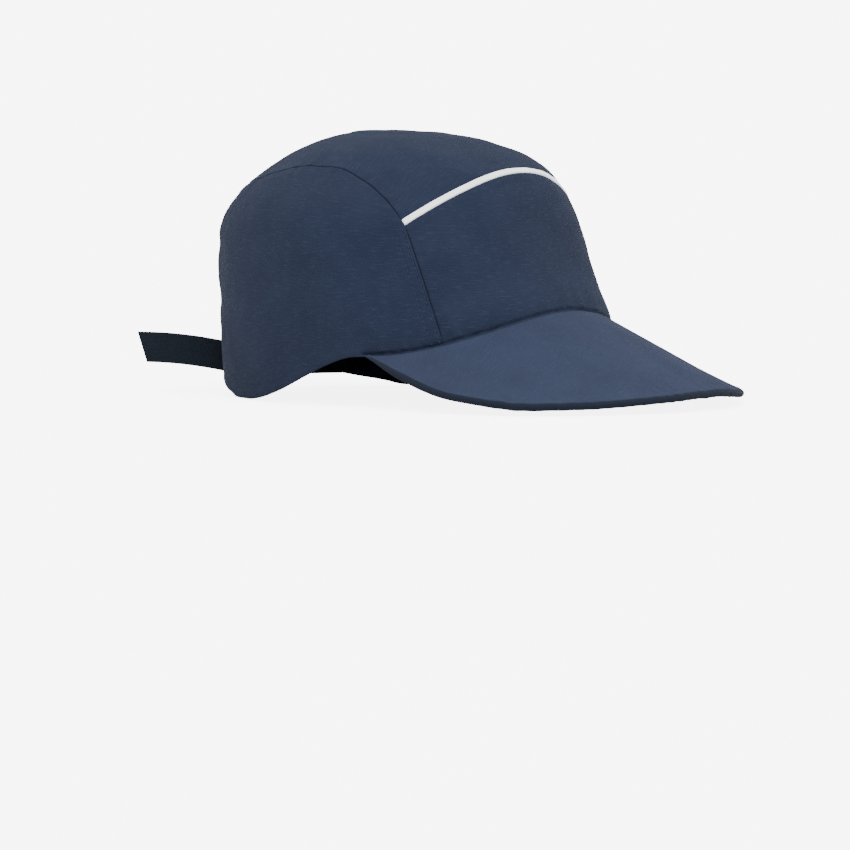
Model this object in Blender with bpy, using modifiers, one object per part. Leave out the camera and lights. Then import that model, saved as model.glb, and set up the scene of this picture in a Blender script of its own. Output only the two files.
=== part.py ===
# Five-panel cap with an arched peak, standing as it rests on a table: on the lower edge
# behind the ears and on both sides of the peak. It faces -Y and its floor is at Z = 0.
import math
from collections import namedtuple

import bmesh
import bpy
import numpy as np
from mathutils import Vector

# Driving dimensions, in metres and degrees
CROWN_HEIGHT = 0.1295
CROWN_HALF_WIDTH = 0.0820
CROWN_FRONT = 0.1200
CROWN_BACK = 0.0914
CROWN_ROUNDNESS = 2.15
PANEL_WALL = 0.0014
PANEL_GAP = 0.00045
TAPE_WIDTH = 0.0032
TAPE_PROUD = 0.0003

PEAK_END_ANGLE = 72.0
PEAK_SEAM_HEIGHT = 0.0450
PEAK_SEAM_DROP = 0.0200
PEAK_TUCK = 0.0038
PEAK_END_TUCK_SHARE = 0.3
PEAK_LENGTH = 0.0810
PEAK_FALL = 0.0367
PEAK_THICKNESS = 0.0036
PEAK_COVER = 0.0022
PEAK_ROLL_WIDTH = 0.0040
PEAK_ROOT = 0.0080
PEAK_POCKET_TURN_SHARE = 0.93
PEAK_LINING_TURN_SHARE = 0.925
DRUM_MARGIN = 0.0150

FRONT_SEAM_LOW_ANGLE = 46.0
FRONT_SEAM_HIGH_ANGLE = 56.0
FRONT_SEAM_RISE_SHARE = 0.668
TAPE_MIDDLE_ALONG_SHARE = 0.608
TAPE_MIDDLE_RISE_SHARE = 0.850
BACK_SEAM_LOW_ANGLE = 157.0
BACK_MIDDLE_ALONG_SHARE = 0.788
BACK_MIDDLE_RISE_SHARE = 0.810
SEAM_BOW_POWER = 2.5
END_FADE_POWER = 6
RIM_REST_ANGLE = 132.0
OPENING_HEIGHT = 0.0360
OPENING_FULLNESS_POWER = 2.4

STRAP_WIDTH = 0.0150
STRAP_THICKNESS = 0.0011
STRAP_RISE = 0.0140
STRAP_ANCHOR_ANGLE = 146.0
STRAP_RUN_ANGLE = 171.0
STRAP_FREE_ANGLE = 170.0
TAIL_SIDE = 0.0420
TAIL_BACK = 0.0380
TAIL_LIFT = 0.0080
TAIL_CUT = 0.0045
TAIL_LEAVE_SHARES = (0.30, 0.03, 0.30)
TAIL_ARRIVE_SHARES = (0.42, 0.55, 0.0)
BUCKLE_LENGTH = 0.0220
BUCKLE_WALL = 0.0015

CLEARANCE = 0.0003
SIDE_CLEARANCE = 1.5 * CLEARANCE
FLOOR_CUT = 0.0010

# Horizontal sections of the crown, from the floor to the top. Height is a share of the crown's
# height, width of its half width, front and middle of its front reach, back of its back reach.
Section = namedtuple("Section", "height width front back middle")
CROWN_SECTIONS = (
    Section(0.000, 0.975, 1.000, 0.970, -0.133),
    Section(0.185, 1.000, 0.930, 0.982, -0.133),
    Section(0.325, 1.000, 0.860, 0.987, -0.125),
    Section(0.455, 0.995, 0.790, 1.002, -0.113),
    Section(0.585, 0.980, 0.733, 1.004, -0.096),
    Section(0.695, 0.945, 0.692, 0.955, -0.075),
    Section(0.790, 0.845, 0.652, 0.830, -0.046),
    Section(0.870, 0.715, 0.585, 0.665, -0.017),
    Section(0.935, 0.550, 0.435, 0.470, 0.000),
    Section(0.980, 0.310, 0.225, 0.262, 0.017),
    Section(0.995, 0.160, 0.080, 0.158, 0.030),
    Section(1.000, 0.003, -0.035, 0.052, 0.038),
)

# Lower edge of a side panel behind the peak: turn is 0 at the peak's end and 1 at the rest angle,
# where the edge lies on the floor; height is a share of the edge's height at the peak's end.
Rim = namedtuple("Rim", "turn height")
RIM = (
    Rim(0.00, 1.00),
    Rim(0.10, 0.97),
    Rim(0.25, 0.81),
    Rim(0.38, 0.62),
    Rim(0.63, 0.27),
    Rim(0.85, 0.06),
    Rim(0.92, 0.00),
    Rim(1.03, 0.00),
    Rim(1.14, 0.13),
    Rim(1.30, 0.25),
    Rim(1.42, 0.36),
)

# Seam between top and side panel, from the tape's end to the back panel: side is a share of the
# crown's half width, along of its front or back reach, up of its height.
SeamPoint = namedtuple("SeamPoint", "side along up")
TOP_SEAM = (
    SeamPoint(0.798, -0.348, 0.759),
    SeamPoint(0.767, -0.223, 0.820),
    SeamPoint(0.732, -0.083, 0.861),
    SeamPoint(0.720, 0.109, 0.869),
    SeamPoint(0.683, 0.351, 0.838),
    SeamPoint(0.610, 0.581, 0.788),
)

# The peak's outer edge, from the middle to one end: turn is a share of the peak's end angle,
# spread and reach are shares of its length, fall of its fall.
PeakEdge = namedtuple("PeakEdge", "turn spread reach fall")
PEAK_EDGE = (
    PeakEdge(0.000, 0.000, 1.000, 1.000),
    PeakEdge(0.243, -0.020, 0.994, 0.942),
    PeakEdge(0.430, 0.033, 0.947, 0.850),
    PeakEdge(0.590, 0.140, 0.858, 0.735),
    PeakEdge(0.730, 0.235, 0.700, 0.612),
    PeakEdge(0.840, 0.225, 0.472, 0.450),
    PeakEdge(0.920, 0.150, 0.262, 0.232),
    PeakEdge(1.000, 0.044, 0.049, 0.020),
)

HEART = np.array((0.0, -0.10 * CROWN_FRONT, 0.31 * CROWN_HEIGHT))


def column(table, name):
    return np.array([getattr(row, name) for row in table])


# Smooth curve through a table's column; a low ease keeps it from overshooting
def through(positions, values, at, ease=3.0):
    step = np.diff(positions)
    slope = np.diff(values) / step
    tangent = np.concatenate((slope[:1], np.zeros(len(slope) - 1), slope[-1:]))
    for row in range(1, len(slope)):
        before = slope[row - 1]
        after = slope[row]
        mean = (before * step[row] + after * step[row - 1]) / (step[row] + step[row - 1])
        bound = ease * min(abs(before), abs(after))
        tangent[row] = np.clip(mean, -bound, bound)
    at = np.clip(at, positions[0], positions[-1])
    row = np.clip(np.searchsorted(positions, at, side="right") - 1, 0, len(step) - 1)
    t = (at - positions[row]) / step[row]
    rise = values[row + 1] - values[row]
    bend = tangent[row] * step[row] * (t - 2 * t**2 + t**3) + tangent[row + 1] * step[row] * (t**3 - t**2)
    return values[row] + rise * (3 * t**2 - 2 * t**3) + bend


# Half width, front, back and middle of the crown's section at a height
def section_at(height):
    share = np.asarray(height, float) / CROWN_HEIGHT
    positions = column(CROWN_SECTIONS, "height")
    width = CROWN_HALF_WIDTH * through(positions, column(CROWN_SECTIONS, "width"), share)
    front = -CROWN_FRONT * through(positions, column(CROWN_SECTIONS, "front"), share)
    back = CROWN_BACK * through(positions, column(CROWN_SECTIONS, "back"), share)
    middle = CROWN_FRONT * through(positions, column(CROWN_SECTIONS, "middle"), share)
    return width, front, back, middle


# Point of the crown's outer surface at a height, at an angle round from the front towards +X
def wall_point(angle, height):
    width, front, back, middle = section_at(height)
    side = np.sin(np.radians(angle))
    ahead = np.cos(np.radians(angle))
    reach = np.where(ahead > 0, middle - front, back - middle)
    size = np.abs(side / width) ** CROWN_ROUNDNESS + np.abs(ahead / reach) ** CROWN_ROUNDNESS
    radius = size ** (-1.0 / CROWN_ROUNDNESS)
    height = np.broadcast_to(height, radius.shape)
    return np.stack((radius * side, middle - radius * ahead, height), axis=-1)


# Below 1 inside the crown's outer surface, above 1 outside it
def crown_ratio(points):
    width, front, back, middle = section_at(points[..., 2])
    along = points[..., 1] - middle
    reach = np.where(along < 0, middle - front, back - middle)
    size = np.abs(points[..., 0] / width) ** CROWN_ROUNDNESS + np.abs(along / reach) ** CROWN_ROUNDNESS
    return np.where(points[..., 2] > CROWN_HEIGHT, 2.0, size)


# Moves points along the lines from the crown's heart until they lie on its outer surface
def onto_crown(points):
    ray = points - HEART
    ray = ray / np.linalg.norm(ray, axis=-1, keepdims=True)
    near = np.zeros(points.shape[:-1])
    far = np.full(points.shape[:-1], CROWN_FRONT + CROWN_HEIGHT + CROWN_BACK)
    for _ in range(45):
        middle = (near + far) / 2
        inside = crown_ratio(HEART + ray * middle[..., None]) < 1.0
        near = np.where(inside, middle, near)
        far = np.where(inside, far, middle)
    return HEART + ray * near[..., None]


def unit(vectors):
    return vectors / np.linalg.norm(vectors, axis=-1, keepdims=True)


def crown_normal(points):
    step = 0.0004
    around = []
    for axis in np.eye(3) * step:
        around.append(crown_ratio(points + axis) - crown_ratio(points - axis))
    return unit(np.stack(around, axis=-1))


# Height of the seam between peak and crown; turn is -1 and 1 at the peak's ends
def peak_seam_height(turn):
    return PEAK_SEAM_HEIGHT - PEAK_SEAM_DROP * np.sin(np.pi / 2 * np.clip(turn, -1, 1)) ** 2


def peak_seam(turn):
    return wall_point(turn * PEAK_END_ANGLE, peak_seam_height(turn))


# Lower edge of the crown panels, tucked behind the peak and then falling to the floor
def lower_edge(angle):
    turn = np.abs(angle) / PEAK_END_ANGLE
    untucked = (1.0 - PEAK_END_TUCK_SHARE) * np.clip(turn, 0, 1) ** END_FADE_POWER
    tucked = peak_seam_height(turn) - PEAK_TUCK * (1.0 - untucked)
    end_height = peak_seam_height(1.0) - PEAK_END_TUCK_SHARE * PEAK_TUCK
    share = (np.abs(angle) - PEAK_END_ANGLE) / (RIM_REST_ANGLE - PEAK_END_ANGLE)
    left = through(column(RIM, "turn"), column(RIM, "height"), share)
    falling = (end_height + FLOOR_CUT) * left - FLOOR_CUT
    return wall_point(angle, np.where(turn < 1.0, tucked, falling))


# Where front panel, top panel, side panel and tape meet on the +X side
def tape_corner():
    return wall_point(FRONT_SEAM_HIGH_ANGLE, np.array(FRONT_SEAM_RISE_SHARE * CROWN_HEIGHT))


def seam_place(row):
    along = row.along * (CROWN_FRONT if row.along < 0 else CROWN_BACK)
    return np.array((row.side * CROWN_HALF_WIDTH, along, row.up * CROWN_HEIGHT))


# The four seams below are drawn on the +X side, each with a share that runs from 0 to 1
def front_seam(share):
    low = lower_edge(np.array(FRONT_SEAM_LOW_ANGLE))
    height = low[2] + (tape_corner()[2] - low[2]) * share
    angle = FRONT_SEAM_LOW_ANGLE + (FRONT_SEAM_HIGH_ANGLE - FRONT_SEAM_LOW_ANGLE) * share
    return wall_point(angle, height)


def top_seam(share):
    stations = np.array([tape_corner()] + [onto_crown(seam_place(row)) for row in TOP_SEAM])
    lengths = np.linalg.norm(np.diff(stations, axis=0), axis=1)
    positions = np.concatenate(([0.0], np.cumsum(lengths))) / lengths.sum()
    spread = [through(positions, stations[:, axis], share) for axis in range(3)]
    return onto_crown(np.stack(spread, axis=-1))


def back_corner():
    return top_seam(np.array(1.0))


# Height of the lower edge where side and back panel meet
def back_seam_foot():
    return lower_edge(np.array(BACK_SEAM_LOW_ANGLE))[2]


def back_seam(share):
    corner = back_corner()
    middle = section_at(corner[2])[3]
    corner_angle = math.degrees(math.atan2(corner[0], middle - corner[1]))
    height = corner[2] + (back_seam_foot() - corner[2]) * share
    angle = BACK_SEAM_LOW_ANGLE + (corner_angle - BACK_SEAM_LOW_ANGLE) * (1.0 - share) ** SEAM_BOW_POWER
    return wall_point(angle, height)


# A seam across the crown, bowed between a corner and its mirror image; side runs from -1 to 1
def cross_seam(corner, middle_along, middle_height, side):
    bow = np.abs(side) ** SEAM_BOW_POWER
    along = middle_along + (corner[1] - middle_along) * bow
    height = middle_height + (corner[2] - middle_height) * side**2
    return onto_crown(np.stack((corner[0] * side, along, height), axis=-1))


def tape_line(side):
    along = -TAPE_MIDDLE_ALONG_SHARE * CROWN_FRONT
    return cross_seam(tape_corner(), along, TAPE_MIDDLE_RISE_SHARE * CROWN_HEIGHT, side)


def back_line(side):
    along = BACK_MIDDLE_ALONG_SHARE * CROWN_BACK
    return cross_seam(back_corner(), along, BACK_MIDDLE_RISE_SHARE * CROWN_HEIGHT, side)


# The tape's edge at a distance from its middle line, ending on the seams that it meets
def tape_edge(side, distance):
    step = 0.01
    tangent = unit(tape_line(side + step) - tape_line(side - step))
    across = np.cross(crown_normal(tape_line(side)), tangent)
    edge = tape_line(side) + across * distance
    seam = top_seam if distance > 0 else front_seam
    start = abs(distance) / seam_length(seam)
    end = seam(np.array(start if distance > 0 else 1.0 - start))
    miss = end - edge_end(distance)
    pull = np.abs(side[..., None]) ** 6
    return onto_crown(edge + pull * miss * np.stack((np.sign(side), side * 0 + 1, side * 0 + 1), axis=-1))


def edge_end(distance):
    step = 0.01
    corner = tape_line(np.array(1.0))
    tangent = unit(corner - tape_line(np.array(1.0 - step)))
    return corner + np.cross(crown_normal(corner), tangent) * distance


def seam_length(seam):
    points = seam(np.linspace(0.0, 1.0, 40))
    return np.linalg.norm(np.diff(points, axis=0), axis=1).sum()


def mirrored(points):
    return points * np.array((-1.0, 1.0, 1.0))


# Fills the patch between four edge curves, each a function of a share from 0 to 1, and lays it
# on the crown. Half a panel gap is left free along every edge.
def patch(bottom, top, left, right):
    across_gap = PANEL_GAP / (seam_length(bottom) + seam_length(top))
    up_gap = PANEL_GAP / (seam_length(left) + seam_length(right))
    corners = [curve(np.array(end)) for curve in (bottom, top) for end in (0.0, 1.0)]

    def place(across, up):
        across = across_gap + across * (1 - 2 * across_gap)
        up = up_gap + up * (1 - 2 * up_gap)
        u = across[:, None]
        v = up[:, None]
        ruled = (1 - v) * bottom(across) + v * top(across) + (1 - u) * left(up) + u * right(up)
        twice = (1 - u) * (1 - v) * corners[0] + u * (1 - v) * corners[1]
        twice = twice + (1 - u) * v * corners[2] + u * v * corners[3]
        return onto_crown(ruled - twice)

    return place


def front_patch():
    trim = 1.0 - TAPE_WIDTH / 2 / seam_length(front_seam)
    return patch(
        bottom=lambda u: lower_edge((2 * u - 1) * FRONT_SEAM_LOW_ANGLE),
        top=lambda u: tape_edge(2 * u - 1, -TAPE_WIDTH / 2),
        left=lambda v: mirrored(front_seam(v * trim)),
        right=lambda v: front_seam(v * trim),
    )


def tape_patch():
    def end(share):
        low = tape_edge(np.array(1.0), -TAPE_WIDTH / 2)
        high = tape_edge(np.array(1.0), TAPE_WIDTH / 2)
        return onto_crown(low + (high - low) * share[..., None])

    flat = patch(
        bottom=lambda u: tape_edge(2 * u - 1, -TAPE_WIDTH / 2),
        top=lambda u: tape_edge(2 * u - 1, TAPE_WIDTH / 2),
        left=lambda v: mirrored(end(v)),
        right=end,
    )

    def place(across, up):
        points = flat(across, up)
        return points + crown_normal(points) * TAPE_PROUD

    return place


def top_patch():
    trim = TAPE_WIDTH / 2 / seam_length(top_seam)
    return patch(
        bottom=lambda u: tape_edge(2 * u - 1, TAPE_WIDTH / 2),
        top=lambda u: back_line(2 * u - 1),
        left=lambda v: mirrored(top_seam(trim + v * (1 - trim))),
        right=lambda v: top_seam(trim + v * (1 - trim)),
    )


def back_patch():
    def arch(share):
        side = 2 * share - 1
        angle = 180.0 - (180.0 - BACK_SEAM_LOW_ANGLE) * side
        foot = back_seam_foot()
        height = foot + (OPENING_HEIGHT - foot) * (1 - np.abs(side) ** OPENING_FULLNESS_POWER)
        return wall_point(angle, height)

    return patch(
        bottom=arch,
        top=lambda u: back_line(2 * u - 1),
        left=lambda v: mirrored(back_seam(1 - v)),
        right=lambda v: back_seam(1 - v),
    )


def side_patch(side):
    turn = BACK_SEAM_LOW_ANGLE - FRONT_SEAM_LOW_ANGLE
    half = patch(
        bottom=lambda u: lower_edge(FRONT_SEAM_LOW_ANGLE + turn * u),
        top=top_seam,
        left=front_seam,
        right=lambda v: back_seam(1 - v),
    )
    return lambda across, up: half(across, up) * np.array((side, 1.0, 1.0))


# Outer edge of the peak at a turn, level with its top face
def peak_edge(turn):
    positions = column(PEAK_EDGE, "turn")
    spread = PEAK_LENGTH * through(positions, column(PEAK_EDGE, "spread"), np.abs(turn), ease=9.0)
    reach = PEAK_LENGTH * through(positions, column(PEAK_EDGE, "reach"), np.abs(turn), ease=9.0)
    fall = PEAK_FALL * through(positions, column(PEAK_EDGE, "fall"), np.abs(turn), ease=9.0)
    return peak_seam(turn) + np.stack((np.sign(turn) * spread, -reach, -fall), axis=-1)


# Top face of the peak: share is 0 inside the crown and 1 at the outer edge less an inset
def peak_point(turn, share, inset):
    seam = peak_seam(turn)
    edge = peak_edge(turn)
    length = np.linalg.norm(edge - seam, axis=-1)
    ruling = unit(edge - seam)
    along = unit(peak_edge(turn + 0.004) - peak_edge(turn - 0.004))
    slant = np.linalg.norm(np.cross(ruling, along), axis=-1)
    far = length - inset / np.maximum(slant, 0.2)
    reach = -PEAK_ROOT + (far + PEAK_ROOT) * share
    return seam + ruling * reach[..., None]


# A layer of the peak, at a depth under its top face, narrower by an inset and shorter by a turn
def peak_layer(depth, inset, end_turn):
    def place(across, up):
        turn = (2 * across - 1) * end_turn
        points = peak_point(turn, up, inset)
        sideways = peak_point(turn + 0.004, up, inset) - peak_point(turn - 0.004, up, inset)
        forward = peak_point(turn, up + 0.004, inset) - peak_point(turn, up - 0.004, inset)
        upward = unit(np.cross(forward, sideways))
        return points - upward * depth

    return place


# Middle line of the strap where it follows the inside of the crown, clear of it at its lower edge
def strap_line(angle, extra):
    points = wall_point(angle, np.full(np.shape(angle), STRAP_RISE - STRAP_WIDTH / 2))
    outward = unit(crown_normal(points) * np.array((1.0, 1.0, 0.0)))
    points[..., 2] = STRAP_RISE
    return points - outward * (PANEL_WALL + SIDE_CLEARANCE + STRAP_THICKNESS / 2 + extra)


# How far back the strap runs straight through the buckle
def strap_run():
    return strap_line(np.array(STRAP_RUN_ANGLE), 0.0)[1]


def bezier(start, leave, arrive, end, t):
    t = t[:, None]
    return (1 - t) ** 3 * start + 3 * (1 - t) ** 2 * t * leave + 3 * (1 - t) * t**2 * arrive + t**3 * end


# Long strap: from inside the left panel through the buckle and out to its free end
def back_strap_path():
    buried = strap_line(np.linspace(STRAP_ANCHOR_ANGLE, STRAP_FREE_ANGLE, 14), 0.0)
    run = strap_run()
    half = BUCKLE_LENGTH / 2 + CLEARANCE
    straight = np.array([(half * side, run, STRAP_RISE) for side in (1.0, 0.33, -0.33, -1.0)])
    start = straight[-1]
    end = start + np.array((-TAIL_SIDE, TAIL_BACK, TAIL_LIFT))
    leave = start + np.array(TAIL_LEAVE_SHARES) * np.array((-TAIL_SIDE, TAIL_BACK, TAIL_LIFT))
    arrive = end - np.array(TAIL_ARRIVE_SHARES) * np.array((-TAIL_SIDE, TAIL_BACK, TAIL_LIFT))
    tail = bezier(start, leave, arrive, end, np.linspace(0.0, 1.0, 15)[1:])
    return np.concatenate((buried, straight, tail))


# Short strap: from inside the right panel into the buckle, inside the long one
def buckle_strap_path():
    angles = np.linspace(-STRAP_ANCHOR_ANGLE, -STRAP_FREE_ANGLE, 14)
    inward = STRAP_THICKNESS + CLEARANCE
    ease = np.linspace(0.0, 1.0, len(angles)) ** 2
    buried = np.array([strap_line(np.array(a), inward * e) for a, e in zip(angles, ease)])
    half = BUCKLE_LENGTH / 2
    run = strap_run() - inward
    straight = np.array([(half * side, run, STRAP_RISE) for side in (-1.0, -0.3, 0.8)])
    return np.concatenate((buried, straight))


# A strip of webbing that stands on edge along a path; the cut makes its end slant
def strap_place(path, cut):
    lengths = np.concatenate(([0.0], np.cumsum(np.linalg.norm(np.diff(path, axis=0), axis=1))))

    def place(across, up):
        distance = across * lengths[-1] + (across > 0.999) * (up - 1.0) * cut
        spread = [np.interp(distance, lengths, path[:, axis]) for axis in range(3)]
        points = np.stack(spread, axis=-1)
        points[..., 2] += (up - 0.5) * STRAP_WIDTH
        return points

    return place


def material(name, colour, roughness):
    made = bpy.data.materials.new(name)
    made.use_nodes = True
    shader = made.node_tree.nodes["Principled BSDF"]
    shader.inputs["Base Color"].default_value = (*colour, 1.0)
    shader.inputs["Roughness"].default_value = roughness
    made.diffuse_color = (*colour, 1.0)
    return made


# A grid whose points a function places, thickened away from the side that it faces
def sheet(name, place, across, up, thickness, surface, collection, facing, offset=-1.0):
    mesh = bpy.data.meshes.new(name)
    work = bmesh.new()
    bmesh.ops.create_grid(work, x_segments=across, y_segments=up, size=1.0)
    work.verts.ensure_lookup_table()
    flat = np.array([vert.co[:] for vert in work.verts])
    points = place((flat[:, 0] + 1) / 2, (flat[:, 1] + 1) / 2)
    for vert, point in zip(work.verts, points):
        vert.co = point
    work.normal_update()
    outward = sum(face.normal.dot(facing(face.calc_center_median())) for face in work.faces)
    if outward < 0:
        bmesh.ops.reverse_faces(work, faces=work.faces)
    work.to_mesh(mesh)
    work.free()
    made = bpy.data.objects.new(name, mesh)
    collection.objects.link(made)
    made.data.materials.append(surface)
    solid = made.modifiers.new("wall", "SOLIDIFY")
    solid.thickness = thickness
    solid.offset = offset
    solid.use_even_offset = False
    return made


def away_from_heart(point):
    return point - Vector(HEART)


def upwards(point):
    return Vector((0.0, 0.0, 1.0))


def backwards(point):
    return Vector((0.0, 1.0, 0.0))


def cut_with(made, cutter, name):
    step = made.modifiers.new(name, "BOOLEAN")
    step.operation = "DIFFERENCE"
    step.solver = "EXACT"
    step.object = cutter


def hide(cutter):
    cutter.hide_render = True
    cutter.display_type = "WIRE"
    return cutter


def box(name, low, high, collection):
    bpy.ops.mesh.primitive_cube_add(size=1.0)
    made = bpy.context.object
    made.name = name
    for vert in made.data.vertices:
        for axis in range(3):
            vert.co[axis] = high[axis] if vert.co[axis] > 0 else low[axis]
    for owner in list(made.users_collection):
        owner.objects.unlink(made)
    collection.objects.link(made)
    return made


# A closed drum of the crown's own sections, grown by a clearance, that trims the peak
def crown_drum(cutters):
    low = -DRUM_MARGIN
    high = PEAK_SEAM_HEIGHT + DRUM_MARGIN
    mesh = bpy.data.meshes.new("crown_drum")
    work = bmesh.new()
    bmesh.ops.create_grid(work, x_segments=144, y_segments=12, size=1.0)
    flat = np.array([vert.co[:] for vert in work.verts])
    angle = flat[:, 0] * 180.0
    points = wall_point(angle, low + (high - low) * (flat[:, 1] + 1) / 2)
    points = points + crown_normal(points) * SIDE_CLEARANCE
    for vert, point in zip(work.verts, points):
        vert.co = point
    bmesh.ops.remove_doubles(work, verts=work.verts, dist=1e-6)
    bmesh.ops.holes_fill(work, edges=work.edges, sides=0)
    bmesh.ops.recalc_face_normals(work, faces=work.faces)
    work.to_mesh(mesh)
    work.free()
    made = bpy.data.objects.new("crown_drum", mesh)
    cutters.objects.link(made)
    return hide(made)


def panels(parts, cutters, cloth, tape):
    out = away_from_heart
    spread = 2 * CROWN_HALF_WIDTH
    floor = hide(box("floor_cutter", (-spread, -spread, -DRUM_MARGIN), (spread, spread, 0.0), cutters))
    sheet("front_panel", front_patch(), 22, 12, PANEL_WALL, cloth, parts, out)
    sheet("top_panel", top_patch(), 22, 18, PANEL_WALL, cloth, parts, out)
    sheet("seam_tape", tape_patch(), 22, 1, PANEL_WALL, tape, parts, out)
    sheet("back_panel", back_patch(), 18, 12, PANEL_WALL, cloth, parts, out)
    for name, side in (("side_panel_right", -1.0), ("side_panel_left", 1.0)):
        made = sheet(name, side_patch(side), 26, 14, PANEL_WALL, cloth, parts, out)
        cut_with(made, floor, "floor")


def peak(parts, cutters, cloth, lining):
    up = upwards
    drum = crown_drum(cutters)
    roll = PEAK_ROLL_WIDTH
    hollow = peak_layer(PEAK_COVER, roll, PEAK_POCKET_TURN_SHARE)
    pocket = sheet("pocket_cutter", hollow, 36, 6, PEAK_THICKNESS, cloth, cutters, up)
    hide(pocket)
    cover = sheet("peak", peak_layer(0.0, 0.0, 1.0), 44, 8, PEAK_THICKNESS, cloth, parts, up)
    cut_with(cover, pocket, "pocket")
    cut_with(cover, drum, "crown")
    depth = PEAK_COVER + CLEARANCE
    thickness = PEAK_THICKNESS - depth
    under = peak_layer(depth, roll + SIDE_CLEARANCE, PEAK_LINING_TURN_SHARE)
    made = sheet("peak_underside", under, 36, 6, thickness, lining, parts, up)
    cut_with(made, drum, "crown")


def closure(parts, cutters, webbing, plastic):
    out = backwards
    path = back_strap_path()
    long = strap_place(path, TAIL_CUT)
    short = strap_place(buckle_strap_path(), 0.0)
    sheet("back_strap", long, 40, 1, STRAP_THICKNESS, webbing, parts, out, offset=0.0)
    sheet("buckle_strap", short, 20, 1, STRAP_THICKNESS, webbing, parts, out, offset=0.0)
    slot_depth = 2 * STRAP_THICKNESS + 3 * CLEARANCE
    middle = strap_run() - (STRAP_THICKNESS + CLEARANCE) / 2
    half = BUCKLE_LENGTH / 2
    slot_high = STRAP_WIDTH / 2 + CLEARANCE
    low = (-half, middle - slot_depth / 2 - BUCKLE_WALL, STRAP_RISE - slot_high - BUCKLE_WALL)
    high = (half, middle + slot_depth / 2 + BUCKLE_WALL, STRAP_RISE + slot_high + BUCKLE_WALL)
    buckle = box("strap_buckle", low, high, parts)
    buckle.data.materials.append(plastic)
    slot_low = (-2 * half, middle - slot_depth / 2, STRAP_RISE - slot_high)
    slot_far = (2 * half, middle + slot_depth / 2, STRAP_RISE + slot_high)
    cut_with(buckle, hide(box("slot_cutter", slot_low, slot_far, cutters)), "slot")


# Moves everything so that the cap's box is centred on the origin and stands on the floor
def centre(parts, cutters):
    bpy.context.view_layer.update()
    graph = bpy.context.evaluated_depsgraph_get()
    points = []
    for made in parts.objects:
        shape = made.evaluated_get(graph)
        points.extend(shape.matrix_world @ vert.co for vert in shape.data.vertices)
    points = np.array([point[:] for point in points])
    low = points.min(axis=0)
    high = points.max(axis=0)
    shift = np.array((-(low[0] + high[0]) / 2, -(low[1] + high[1]) / 2, -low[2]))
    for made in list(parts.objects) + list(cutters.objects):
        made.location = shift


def main():
    for old in list(bpy.data.objects):
        bpy.data.objects.remove(old)
    parts = bpy.data.collections.new("five_panel_cap")
    cutters = bpy.data.collections.new("cutters")
    for group in (parts, cutters):
        bpy.context.scene.collection.children.link(group)
    cloth = material("navy_cloth", (0.026, 0.041, 0.081), 0.85)
    lining = material("navy_under_cloth", (0.016, 0.024, 0.042), 0.9)
    tape = material("white_tape", (0.86, 0.88, 0.85), 0.7)
    webbing = material("navy_webbing", (0.008, 0.011, 0.020), 0.7)
    plastic = material("black_plastic", (0.012, 0.012, 0.014), 0.4)
    panels(parts, cutters, cloth, tape)
    peak(parts, cutters, cloth, lining)
    closure(parts, cutters, webbing, plastic)
    centre(parts, cutters)


main()
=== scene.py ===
# A navy five-panel cap with a white seam tape and an arched peak, standing on a pale floor.
# Metres; the cap faces -Y, its right side is -X and the floor is z = 0.
import math

import bpy
import numpy as np
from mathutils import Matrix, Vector


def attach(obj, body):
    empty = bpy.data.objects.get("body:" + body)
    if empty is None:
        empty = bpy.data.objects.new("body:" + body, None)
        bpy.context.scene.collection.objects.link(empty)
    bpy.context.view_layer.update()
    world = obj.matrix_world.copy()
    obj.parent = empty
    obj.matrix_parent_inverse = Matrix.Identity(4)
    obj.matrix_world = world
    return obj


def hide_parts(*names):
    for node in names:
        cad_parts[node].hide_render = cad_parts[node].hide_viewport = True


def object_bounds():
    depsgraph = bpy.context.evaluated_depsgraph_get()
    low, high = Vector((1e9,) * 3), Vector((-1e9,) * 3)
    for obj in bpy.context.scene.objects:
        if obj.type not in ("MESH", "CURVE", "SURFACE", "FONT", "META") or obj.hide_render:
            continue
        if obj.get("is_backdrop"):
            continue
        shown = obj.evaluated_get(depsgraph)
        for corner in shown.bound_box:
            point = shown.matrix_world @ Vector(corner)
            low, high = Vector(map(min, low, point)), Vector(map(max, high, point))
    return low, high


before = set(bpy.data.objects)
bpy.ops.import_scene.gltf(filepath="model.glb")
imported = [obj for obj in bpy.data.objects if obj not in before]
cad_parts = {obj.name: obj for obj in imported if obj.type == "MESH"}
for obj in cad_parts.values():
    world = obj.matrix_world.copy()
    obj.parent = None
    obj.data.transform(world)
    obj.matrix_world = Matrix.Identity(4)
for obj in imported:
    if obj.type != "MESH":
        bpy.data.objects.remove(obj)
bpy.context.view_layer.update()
bpy.ops.object.select_all(action="DESELECT")
print("frame loaded:", len(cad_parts), "nodes")

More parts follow.
